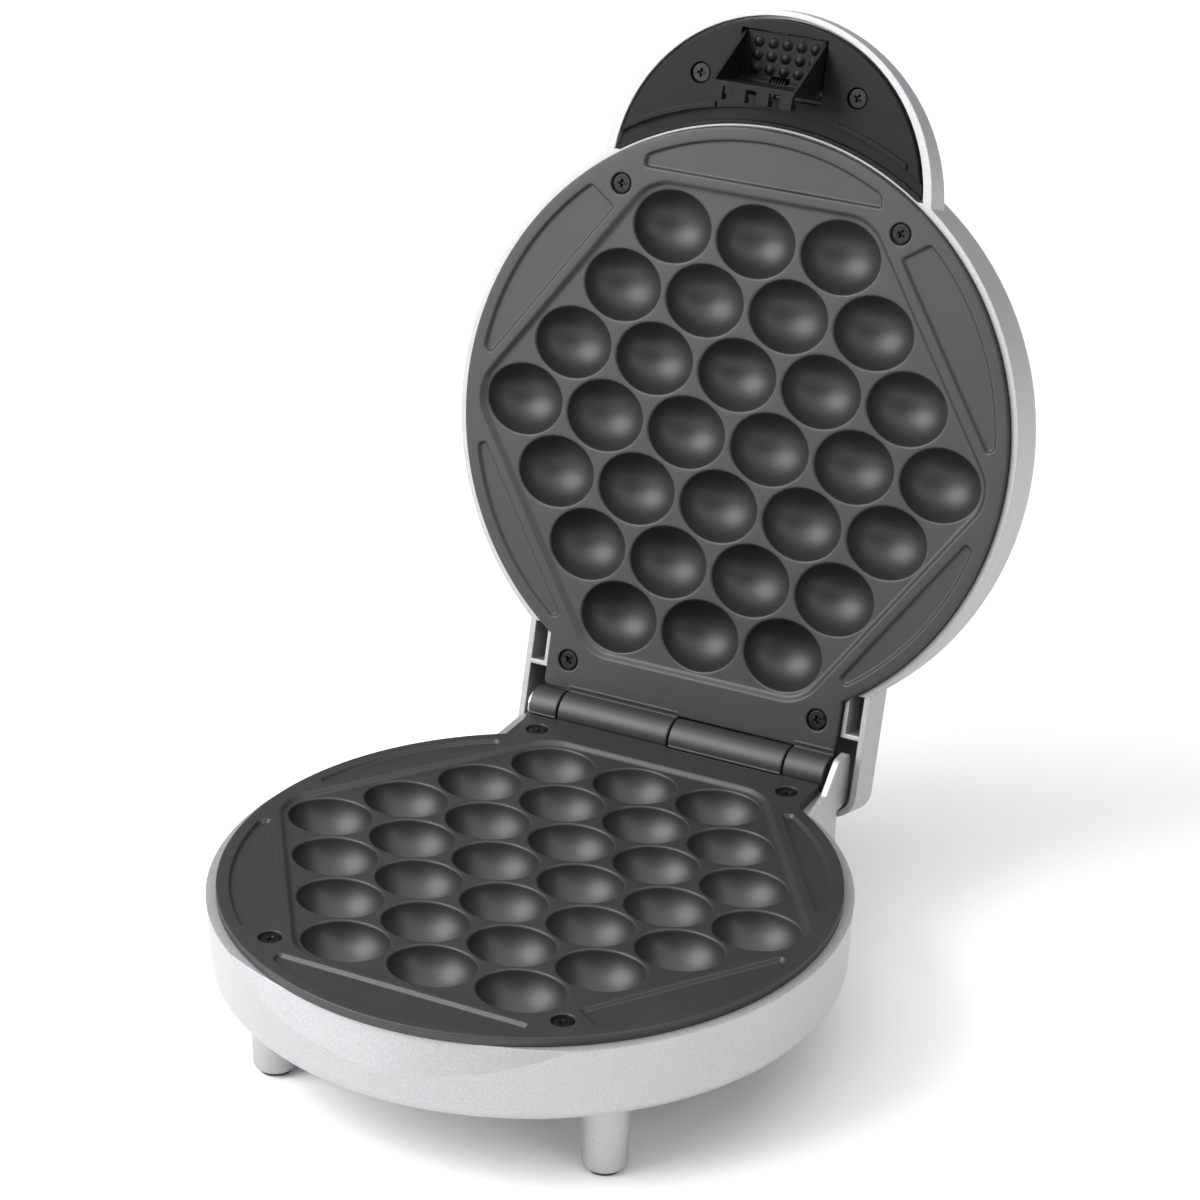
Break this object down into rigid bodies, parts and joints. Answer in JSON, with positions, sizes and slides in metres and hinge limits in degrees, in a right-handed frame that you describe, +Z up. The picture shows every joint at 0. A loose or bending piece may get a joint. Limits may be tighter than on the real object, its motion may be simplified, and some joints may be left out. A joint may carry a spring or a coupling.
{
  "type": "bubble waffle maker",
  "caption": "Tabletop electric bubble waffle maker: hinged round plates of oval cavities between a silver base on legs and a silver lid with a latched handle.",
  "frame": {"origin": "on the table under the centre of the round plates, with the lid standing open", "axes": "+Z up, +X to the right along the hinge, -Y to the front, away from the hinge"},
  "size_m": [0.2132, 0.3026, 0.3059],
  "materials": {
    "silver_paint": "fine metallic silver paint on moulded plastic, satin",
    "coated_plate": "cast aluminium with a charcoal non-stick coating, satin",
    "black_plastic": "moulded black plastic, fine matte",
    "dark_screw": "blackened steel screws, satin",
    "zinc_steel": "zinc plated steel, satin",
    "element_sheath": "drawn steel sheath, satin",
    "reflector_sheet": "pressed aluminium sheet, bright",
    "pad_rubber": "soft rubber, matte",
    "ceramic": "moulded insulator, matte",
    "lead_cover": "silicone sleeve on copper wire, matte",
    "red_lens": "tinted clear plastic, gloss",
    "green_lens": "tinted clear plastic, gloss"
  },
  "bodies": {
    "base": {"base_shell": "silver_paint", "base_feet": "pad_rubber", "lower_plate": "coated_plate", "lower_plate_screws": "dark_screw", "lower_element": "element_sheath", "lower_reflector": "reflector_sheet", "lower_reflector_screws": "zinc_steel", "thermostat": "ceramic", "terminal_block": "ceramic", "lower_leads": "lead_cover", "cord_grommet": "pad_rubber", "hinge_pin": "zinc_steel"},
    "lid": {"lid_shell": "silver_paint", "handle_cover": "black_plastic", "handle_screws": "dark_screw", "upper_plate": "coated_plate", "upper_plate_screws": "dark_screw", "upper_element": "element_sheath", "upper_reflector": "reflector_sheet", "upper_reflector_screws": "zinc_steel", "thermal_fuse": "zinc_steel", "upper_leads": "lead_cover", "power_lens": "red_lens", "ready_lens": "green_lens", "lamp_holder": "black_plastic", "latch_pin": "zinc_steel", "latch_spring": "zinc_steel"},
    "latch": {"latch": "black_plastic"}
  },
  "joints": [
    {"name": "lid_hinge", "type": "hinge", "parent": "base", "child": "lid", "pos_m": [0, 0.1122, 0.059], "axis": [1, 0, 0], "range_deg": [0, 104.85]},
    {"name": "latch_pivot", "type": "hinge", "parent": "lid", "child": "latch", "pos_m": [0, 0.17516, 0.28025], "axis": [-1, 0, 0], "range_deg": [0, 12], "stiffness_Nm_per_rad": 0.2, "springref_deg": -9.74}
  ]
}
